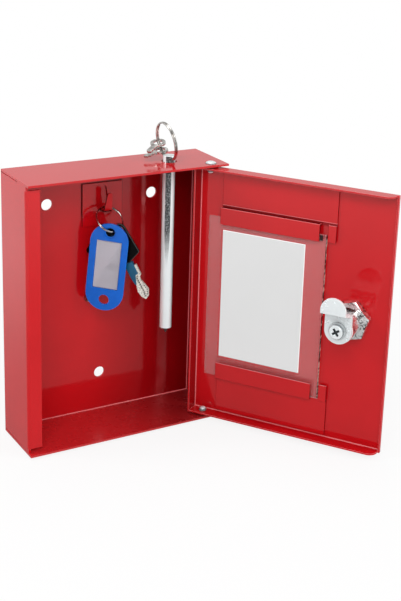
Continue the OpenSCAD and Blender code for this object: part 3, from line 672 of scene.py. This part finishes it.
# %% [markdown]
# ## Glass holders
# Two stepped plates hold the pane inside the door. Shade is painted into the corner where such a
# plate steps up from the door and onto its cut ends, and just above the shaded corner a thin
# line of highlight is painted. Lamps alone could not bring this out, so two cuts set off the
# corner and the line, and a rule finds their faces by place and direction and says how much
# painted shade or light each one gets.

# %% Glass holders
UPPER_STEP = 52.7
HIGHLIGHT_LINE = (1.0, 1.3)
width_way = (open_door.to_3x3() @ ACROSS).normalized()


def glass_holder(node, name):
    mesh = merged_copy(node)
    roll_edges(mesh, 0.28, 3)
    for rise in HIGHLIGHT_LINE:
        cut_plane(mesh, (0, 0, (UPPER_STEP + rise) * MM), UP)
    edge, shade = face_marks(mesh, "edge", "shade")
    for face in mesh.faces:
        rise = face.calc_center_median().z / MM - UPPER_STEP
        looks = face.normal
        in_shaded_corner, in_highlight = 0.0 < rise < HIGHLIGHT_LINE[0], HIGHLIGHT_LINE[0] < rise < HIGHLIGHT_LINE[1]
        # Painted shade in the step's corner and on its top, a painted highlight on the line above
        # it, and painted shade on the cut ends.
        if looks.z > 0.95 or in_shaded_corner:
            face[shade] = 0.55
        elif in_highlight and abs(looks.z) < 0.1:
            face[edge] = 0.9
        elif abs(looks.dot(width_way)) > 0.9:
            face[shade] = 0.85
        if (looks.z < 0.2 or in_shaded_corner) and not in_highlight:
            face[edge] = 0.0
    even_normals(finish_piece(name, mesh, node))
    print("%s: %.1f mm wide" % (name, np.ptp(corners(node) @ np.array(width_way)) / MM))


glass_holder("glass_retainer_upper", "upper_glass_holder")
glass_holder("glass_retainer_lower", "lower_glass_holder")

# %% [markdown]
# ## Cam screw, spring washer and hook plate
# A cross-headed screw and a split spring washer hold the cam on the lock. Shade is painted on
# their sides and in the screw's recess, so they stay dark whatever stands around them, and on the
# hook plate's cut sides too. Each could be painted by hand, face by face. A short rule for each
# piece does it by the depth, the distance from the axis or the direction of a face, and goes on
# working when the size of the piece changes.

# %% Cam screw, its washer and the hook plate
RECESS_DEPTH, RECESS_R = (0.12 * MM, 2.2 * MM), 2.9 * MM
cam_axis = Vector(joint_of["cam_turn"]["axis"]).normalized()
cam_centre = Vector(joint_of["cam_turn"]["pos_m"])
if cam_axis.dot(camera.location - cam_centre) < 0:
    cam_axis.negate()
screw_top = max(cam_axis.dot(corner.co - cam_centre)
                for corner in nodes["cam_screw"].data.vertices)


# Painted shade in the screw's recess and on its sides.
def screw_shade(face):
    offset = face.calc_center_median() - cam_centre
    height = cam_axis.dot(offset)
    in_recess = RECESS_DEPTH[0] < screw_top - height < RECESS_DEPTH[1]
    if in_recess and (offset - cam_axis * height).length < RECESS_R:
        return 1.0
    return 0.75 if abs(face.normal.dot(cam_axis)) < 0.75 else 0.0


# Painted shade on the washer's sides, and a little on its faces.
def washer_shade(face):
    return 0.85 if abs(face.normal.dot(cam_axis)) < 0.8 else 0.25


# Painted shade on the hook plate's cut sides.
def plate_shade(face):
    return 0.85 if abs(face.normal.y) < 0.9 and abs(face.normal.z) < 0.999 else 0.0


rolled_piece("cam_screw", "cross_head_screw", 0.25, 3, screw_shade)
rolled_piece("cam_washer", "spring_washer", 0.15, 2, washer_shade)
rolled_piece("hook_plate", "hook_tongue_plate", 0.45, 2, plate_shade)

# %% [markdown]
# ## Hinge rivets
# A rivet is a turned pin with a flat dome outside the case. Its tail, inside the door's flange, was
# struck to a small ball. Cylinders and scaled spheres could be joined to make it. A turned part is
# quicker to draw as one profile, from the tail to the head, that is spun around the hinge.

# %% Hinge rivets
RIVET_R, RIVET_HEAD_R, RIVET_HEAD_H, CAD_TAIL_H = 1.8, 3.1, 1.4, 0.7
TAIL_R, TAIL_H = 2.15, 2.2


def arc(radius, height, steps=8):
    """Quarter of an ellipse from the pole to the rim, as (radius, height above the rim)."""
    angles = [math.pi / 2 * step / steps for step in range(steps + 1)]
    return [(radius * math.sin(a), height * math.cos(a)) for a in angles]


def turned_rivet(node, name, outward):
    heights = [outward * corner.co.z / MM for corner in nodes[node].data.vertices]
    tail_seat, head_seat = min(heights) + CAD_TAIL_H, max(heights) - RIVET_HEAD_H
    outline = [(r, tail_seat - h) for r, h in arc(TAIL_R, TAIL_H)]
    outline += [(RIVET_R, tail_seat), (RIVET_R, head_seat)]
    outline += [(r, head_seat + h) for r, h in reversed(arc(RIVET_HEAD_R, RIVET_HEAD_H))]
    axis = Vector(joint_of["door_hinge"]["pos_m"])
    mesh = bmesh.new()
    spots = [mesh.verts.new((axis.x + r * MM, axis.y, outward * h * MM)) for r, h in outline]
    edges = [mesh.edges.new(pair) for pair in zip(spots, spots[1:])]
    bmesh.ops.spin(mesh, geom=spots + edges, cent=axis, axis=(0, 0, 1), angle=2 * math.pi,
                   steps=40, use_merge=True)
    bmesh.ops.remove_doubles(mesh, verts=mesh.verts, dist=0.001 * MM)
    bmesh.ops.recalc_face_normals(mesh, faces=mesh.faces)
    shade, = face_marks(mesh, "shade")
    # Painted shade: a little on the dome and the ball, more on the sides.
    for face in mesh.faces:
        face[shade] = 0.12 if abs(face.normal.z) > 0.6 else 0.75
    finish_piece(name, mesh, node)
    print("%s: tail to %.1f mm, head from %.1f mm" % (name, tail_seat - TAIL_H, head_seat))


turned_rivet("hinge_rivet_upper", "upper_rivet", 1)
turned_rivet("hinge_rivet_lower", "lower_rivet", -1)

# %% [markdown]
# ## Rod point
# The striker's lower end is turned down to a small dark point. A cone could be joined on below the
# rod. Working on the rod's own end keeps it one skin: the copy is cut above its blunt end, and the
# open end is filled, inset and drawn out to the point. Drawing out leaves the old face behind
# inside the rod, so that one is deleted.

# %% Rod point
ROD_FULL_R = 3.4


def close_holes(mesh):
    bmesh.ops.holes_fill(mesh, edges=[edge for edge in mesh.edges if edge.is_boundary])


def draw_out(mesh, faces, way):
    """Extrudes faces and moves the new ones. It returns the corners that moved."""
    grown = bmesh.ops.extrude_face_region(mesh, geom=faces)["geom"]
    moved = [item for item in grown if isinstance(item, bmesh.types.BMVert)]
    bmesh.ops.translate(mesh, vec=way, verts=moved)
    return moved


def pointed_rod(node, name, shorter_mm, step_mm, point_mm):
    mesh = merged_copy(node)
    axis_point = Vector((ROD_AXIS[0], ROD_AXIS[1], 0)) * MM
    full = [v.co.z for v in mesh.verts if (v.co.xy - axis_point.xy).length > ROD_FULL_R * MM]
    cut = min(full) + shorter_mm * MM
    cut_plane(mesh, (0, 0, cut), UP, clear_inner=True)
    close_holes(mesh)
    bmesh.ops.recalc_face_normals(mesh, faces=mesh.faces)
    roll_edges(mesh, 0.25, 3)
    end = min(mesh.faces, key=lambda face: face.calc_center_median().z)
    bmesh.ops.inset_individual(mesh, faces=[end], thickness=step_mm * MM)
    tip = draw_out(mesh, [end], (0, 0, -point_mm * MM))
    bmesh.ops.scale(mesh, vec=(0.2, 0.2, 1), verts=tip, space=Matrix.Translation(-axis_point))
    shade, = face_marks(mesh, "shade")
    for face in mesh.faces:
        if face.calc_center_median().z < cut - 0.2 * MM:
            face[shade] = 0.9
    bmesh.ops.delete(mesh, geom=[end], context="FACES_ONLY")
    bmesh.ops.recalc_face_normals(mesh, faces=mesh.faces)
    print("%s: ends at %.1f mm" % (name, min(v.co.z for v in mesh.verts) / MM))
    finish_piece(name, mesh, node)


pointed_rod("striker_rod", "striker_rod_turned", 4.2, 1.3, 3.4)

# %% [markdown]
# ## Split rings
# A split ring is one springy wire wound twice, flat side to flat side. Where it changes from one
# turn to the other it steps over, and a cut end lies on either side of that step.
# A curve with a round bevel could be drawn for it, but its turns are hard to lay exactly side by
# side. Three spins of one small profile make it here: a flat turn, a short step and a flat turn.

# %% Split rings
TURN_APART, WIRE_FLATTER = 0.88, 0.9
STEP_ANGLE, STEP_CUTS, TURN_CUTS = math.radians(44), 14, 88


def ring_frame(node, joint):
    """Centre of a ring, its axis, and the direction in its plane to the joint that it swings on."""
    points = corners(node)
    middle = points.mean(axis=0)
    ways = np.linalg.eigh(np.cov((points - middle).T))[1]
    reach = (points - middle) @ ways
    centre = Vector(middle + ways @ ((reach.min(axis=0) + reach.max(axis=0)) / 2))
    axis = Vector(ways[:, 0])
    out = Vector(joint_of[joint]["pos_m"]) - centre
    out -= axis * out.dot(axis)
    return centre, axis.normalized(), out


def split_ring(node, name, joint, wire_mm, step_from_joint):
    centre, axis, out = ring_frame(node, joint)
    radius, pitch = out.length, TURN_APART * wire_mm * MM
    flat_turn = (2 * math.pi - STEP_ANGLE, 0.0, TURN_CUTS)
    mesh = bmesh.new()
    profile = bmesh.ops.create_circle(mesh, segments=12, radius=wire_mm * MM / 2)["verts"]
    bmesh.ops.scale(mesh, verts=profile, vec=(1, WIRE_FLATTER, 1))
    bmesh.ops.rotate(mesh, verts=profile, matrix=Matrix.Rotation(math.radians(90), 3, "X"))
    bmesh.ops.translate(mesh, verts=profile, vec=(radius, 0, -pitch / 2))
    loop = mesh.edges[:]
    for angle, rise, steps in (flat_turn, (STEP_ANGLE, pitch, STEP_CUTS), flat_turn):
        spun = bmesh.ops.spin(mesh, geom=loop, axis=(0, 0, 1), angle=angle, steps=steps,
                              dvec=(0, 0, rise / steps))
        loop = [item for item in spun["geom_last"] if isinstance(item, bmesh.types.BMEdge)]
    close_holes(mesh)
    bmesh.ops.recalc_face_normals(mesh, faces=mesh.faces)
    first = out.normalized()
    upright = Matrix((first, axis.cross(first), axis)).transposed().to_4x4()
    back = Matrix.Rotation(math.radians(step_from_joint) + STEP_ANGLE / 2, 4, "Z")
    bmesh.ops.transform(mesh, matrix=Matrix.Translation(centre) @ upright @ back, verts=mesh.verts)
    finish_piece(name, mesh, node)
    print("%s: radius %.2f mm, axis %s" % (name, radius / MM, [round(v, 2) for v in axis]))


split_ring("hook_ring", "hook_split_ring", "hook_ring_swing", 0.7, 90)
split_ring("striker_ring", "striker_split_ring", "pull_ring_swing", 1.1, 160)

# %% [markdown]
# ## Room key
# The key that shows below the tag is a flat nickel blade with a milled groove and small pits along
# its edge. Cutters and boolean modifiers could mill it, but many small cuts leave ragged faces.
# The relief is laid over a grid instead: each row of the grid runs from the blade's left edge to
# its right edge, and the depth is a function of the place. The deep parts are marked as shaded.

# %% Relief of the blade
BLADE_T, BLADE_L = 1.6, 15.4
LEFT_EDGE = [(0, -1.8), (-4.6, -1.8), (-9.6, -3.1), (-13.2, -2.4), (-BLADE_L, -0.8)]
RIGHT_EDGE = [(0, 3.2), (-1, 3.2), (-2, 1.8), (-4, 1.5), (-7.6, 2.7), (-10.8, 3.3), (-14.2, 1.6),
              (-BLADE_L, -0.4)]
ZIGZAG, PIT_APART = 1.25, 1.3
CUT_R, CUT_DEPTH = 0.42, 0.45


def along(points, height):
    """Where an edge, given as pairs of height and place, lies at this height."""
    rows = sorted(points)
    return float(np.interp(height, [row[0] for row in rows], [row[1] for row in rows]))


def relief(x, z):
    """Depth below the blade's face in mm: a zigzag groove and a row of pits."""
    saw = abs((z / ZIGZAG) % 1 - 0.5) * 2
    middle = (along(LEFT_EDGE, z) + along(RIGHT_EDGE, z)) / 2 - 0.5 + 0.8 * saw
    groove = max(0, 1 - ((x - middle) / CUT_R) ** 2) if -14 < z < -1 and saw > 0.3 else 0
    pit_z = round(z / PIT_APART) * PIT_APART
    pit_x = along(RIGHT_EDGE, pit_z) - 0.75
    from_pit = (x - pit_x) ** 2 + (z - pit_z) ** 2
    pit = max(0, 1 - from_pit / CUT_R ** 2) if -13.6 < z < -6.5 else 0
    return CUT_DEPTH * max(groove ** 0.6, pit ** 0.6)


print("blade: %.1f mm long, cuts %.2f mm deep" % (BLADE_L, CUT_DEPTH))

# %% Room key blade
SET_TURN = -38
SHADED_FROM = 0.3


def hanging(joint, lean, shift_mm):
    """Place of a key that hangs from its joint, in the plane of the set."""
    return (Matrix.Translation(Vector(joint_of[joint]["pos_m"]))
            @ Matrix.Rotation(math.radians(SET_TURN), 4, "Z")
            @ Matrix.Rotation(math.radians(lean), 4, "Y")
            @ Matrix.Translation(Vector(shift_mm) * MM))


def milled_face(mesh):
    """A grid in the outline of the blade, pressed in where it is milled."""
    bmesh.ops.create_grid(mesh, x_segments=26, y_segments=70, size=0.5)
    shade = mesh.verts.layers.float.new("shade")
    for corner in mesh.verts:
        z = -BLADE_L * (0.5 - corner.co.y)
        left, right = along(LEFT_EDGE, z), along(RIGHT_EDGE, z)
        x = left + (right - left) * (corner.co.x + 0.5)
        depth = relief(x, z)
        corner.co = Vector((x, depth - BLADE_T / 2, z)) * MM
        corner[shade] = min(1.0, depth / SHADED_FROM)


def milled_blade(node, name):
    mesh = bmesh.new()
    milled_face(mesh)
    face = mesh.verts[:] + mesh.edges[:] + mesh.faces[:]
    for item in bmesh.ops.duplicate(mesh, geom=face)["geom"]:
        if isinstance(item, bmesh.types.BMVert):
            item.co.y = -item.co.y
    bmesh.ops.bridge_loops(mesh, edges=[edge for edge in mesh.edges if edge.is_boundary])
    shoulder = bmesh.ops.create_grid(mesh, x_segments=1, y_segments=1, size=0.5)["verts"]
    for corner in shoulder:
        corner.co = Vector((2.55 + 1.3 * corner.co.x, -BLADE_T / 2, 2.6 + 5.8 * corner.co.y)) * MM
    draw_out(mesh, list(shoulder[0].link_faces), (0, BLADE_T * MM, 0))
    bmesh.ops.recalc_face_normals(mesh, faces=mesh.faces)
    bmesh.ops.transform(mesh, matrix=key_place, verts=mesh.verts)
    print("%s: %d faces" % (name, len(mesh.faces)))
    finish_piece(name, mesh, node, finish="key_nickel")


key_place = hanging("room_key_swing", -27, (-3.4, 0, -27.5))
milled_blade("room_key_blade", "room_key_blade_milled")

# %% [markdown]
# ## Sleeve of the room key
# A teal plastic sleeve is pushed over the top of the blade, and a narrow tail of it runs down one
# side. It could be carved from a box. It is flat on both sides and the same all the way through,
# so its outline is drawn once, drawn out to its thickness, and then rounded all over.

# %% Room key sleeve
SLEEVE_T = 3
SLEEVE_OUTLINE = [(-3.1, 8), (1.9, 8), (1.9, 0), (0.2, 0), (-1.9, -5.6), (-2.5, -5.6), (-3.1, -0.6)]

sleeve = bmesh.new()
rim = [sleeve.verts.new(Vector((x, -SLEEVE_T / 2, z)) * MM) for x, z in SLEEVE_OUTLINE]
draw_out(sleeve, [sleeve.faces.new(rim)], (0, SLEEVE_T * MM, 0))
bmesh.ops.recalc_face_normals(sleeve, faces=sleeve.faces)
roll_edges(sleeve, 0.35, 3)
bmesh.ops.transform(sleeve, matrix=key_place, verts=sleeve.verts)
print("sleeve: %d faces" % len(sleeve.faces))
finish_piece("room_key_sleeve", sleeve, "key_collar")

# %% [markdown]
# ## Spare key
# The second key is one solid with a plastic head and a nickel blade. One mesh could carry both
# finishes, but a piece here has one finish. Two copies of the solid, each cut at the same plane,
# let the two parts have their own.

# %% Spare key
def half_of(node, name, slot, cut_place, keep_above):
    mesh = merged_copy(node)
    cut_plane(mesh, cut_place.translation, cut_place.to_3x3() @ UP,
              clear_outer=not keep_above, clear_inner=keep_above)
    close_holes(mesh)
    roll_edges(mesh, 0.25 if keep_above else 0.15)
    print("%s: %d faces" % (name, len(mesh.faces)))
    finish_piece(name, mesh, node, slot)


head_end = hanging("spare_key_swing", 15.5, (-4.6, 0, -20.25))
half_of("spare_key", "spare_key_head", "black_plastic", head_end, True)
half_of("spare_key", "spare_key_blade", "nickel", head_end, False)

# %% [markdown]
# ## Floor
# The box stands on a big sheet of white paper. Plain paper under lamps would turn grey toward the
# back, and its end would show against the sky. So the paper is mixed with a white glow, which
# grows with the distance from the box and leaves only a soft shadow close to it. Polished pieces
# mirror a greyer sheet, as if the room around it were dim.

# %% Floor sheet
FLOOR_Z = -78.95 * MM
FLOOR_HALF = 3.0

floor_mesh = bmesh.new()
bmesh.ops.create_grid(floor_mesh, x_segments=2, y_segments=2, size=FLOOR_HALF)
bmesh.ops.translate(floor_mesh, verts=floor_mesh.verts, vec=(0, 0, FLOOR_Z))
floor_data = bpy.data.meshes.new("floor")
floor_mesh.to_mesh(floor_data)
floor_mesh.free()
floor = placed("floor", floor_data)
print("floor at %.2f mm" % (FLOOR_Z / MM))

# %% Floor paper
BOX_FOOT = (40.0, -60.0, FLOOR_Z / MM)
GLOW_NEAR, GLOW_FAR = 0.86, 1.0

paper = Finish("floor_paper", Roughness=0.9, Base_Color=grey(0.82), Specular_IOR_Level=0.1)
seen, mirrored = paper.ray("Is Camera Ray"), paper.ray("Is Glossy Ray")
where = paper.place()
away = paper.node("ShaderNodeVectorMath", {"operation": "DISTANCE"}, [where, BOX_FOOT],
                  out="Value")
behind = paper.part(where, "Y").ramp(-60.0, 240.0)
dark = 0.6 - 0.4 * away.ramp(150.0, 480.0) - 0.15 * behind
shown = paper.blend(mirrored * dark, grey(1.0), grey(0.0))
glow = seen * (GLOW_NEAR + (GLOW_FAR - GLOW_NEAR) * away.ramp(120.0, 420.0))
lift = paper.node("ShaderNodeMixShader", inputs=[
    mirrored.at_least(glow), Wire(paper, paper.shader.outputs[0]),
    paper.node("ShaderNodeEmission", inputs=[shown, 1.0])])
paper.tree.links.new(lift.socket, paper.tree.nodes["Material Output"].inputs["Surface"])
floor.data.materials.append(paper.material)
print("floor paper: %d nodes" % len(paper.tree.nodes))

# %% [markdown]
# ## Sky
# Around the box hangs a white surround, as in a photographer's light tent. It could be one plain
# white, but then it would wash out the shadows and every mirror. The Light Path node tells the
# rays apart: the camera and clear things see white, plain surfaces get a low even light, and
# mirrors see a grey that is lighter at the back than at the front.

# %% Sky
SKY_LIGHT, SKY_SEEN = 0.38, 1.0
MIRROR_FRONT, MIRROR_RISE = 0.2, 0.6

sky = bpy.data.worlds.new("studio")
bpy.context.scene.world = sky
surround = Finish("surround", world=sky, Color=grey(1.0))
toward = surround.part(surround.node("ShaderNodeTexCoord", out="Generated"), "Y")
in_mirrors = MIRROR_FRONT + MIRROR_RISE * toward.ramp(-0.45, 0.35)
level = surround.between(surround.ray("Is Glossy Ray"), SKY_LIGHT, in_mirrors)
plain_view = surround.ray("Is Camera Ray").at_least(surround.ray("Is Transmission Ray"))
surround.feed("Strength", surround.between(plain_view, level, SKY_SEEN))
print("sky: %d nodes" % len(surround.tree.nodes))

# %% [markdown]
# ## Lamps
# The photograph has soft light from the front left and weaker light from the right, the top and
# the far left. A sun lamp could give the direction, but its shadows would be hard. Four area
# lamps, each as big as a studio's soft box, give soft shadows and broad streaks on the enamel.

# %% Lamps
LAMPS = {
    "key_light": ((-400, -720, 600), (0, -20, 0), (560, 500), 4.7),
    "side_light": ((620, -640, 420), (0, -30, 0), (420, 600), 3.4),
    "top_light": ((60, 60, 900), (0, -20, 0), (600, 600), 1.7),
    "left_light": ((-560, 180, 460), (-60, -20, 20), (300, 300), 1.8),
}
for name, (place_mm, target_mm, size_mm, watts) in LAMPS.items():
    lamp = bpy.data.lights.new(name, "AREA")
    lamp.shape, lamp.size, lamp.size_y = "RECTANGLE", size_mm[0] * MM, size_mm[1] * MM
    lamp.energy = watts
    stand = placed(name, lamp)
    stand.location = Vector(place_mm) * MM
    aim = Vector(target_mm) * MM - stand.location
    stand.rotation_mode = "QUATERNION"
    stand.rotation_quaternion = aim.to_track_quat("-Z", "Y")
    print(name, "at", place_mm)

# %% [markdown]
# ## Colour management
# The photograph has a white that is really white and full reds. A film-like view could soften
# both, but it would grey them. The Standard view shows the colours as they were mixed.

# %% Colour management
bpy.context.scene.view_settings.view_transform = "Standard"
print("view:", bpy.context.scene.view_settings.view_transform)
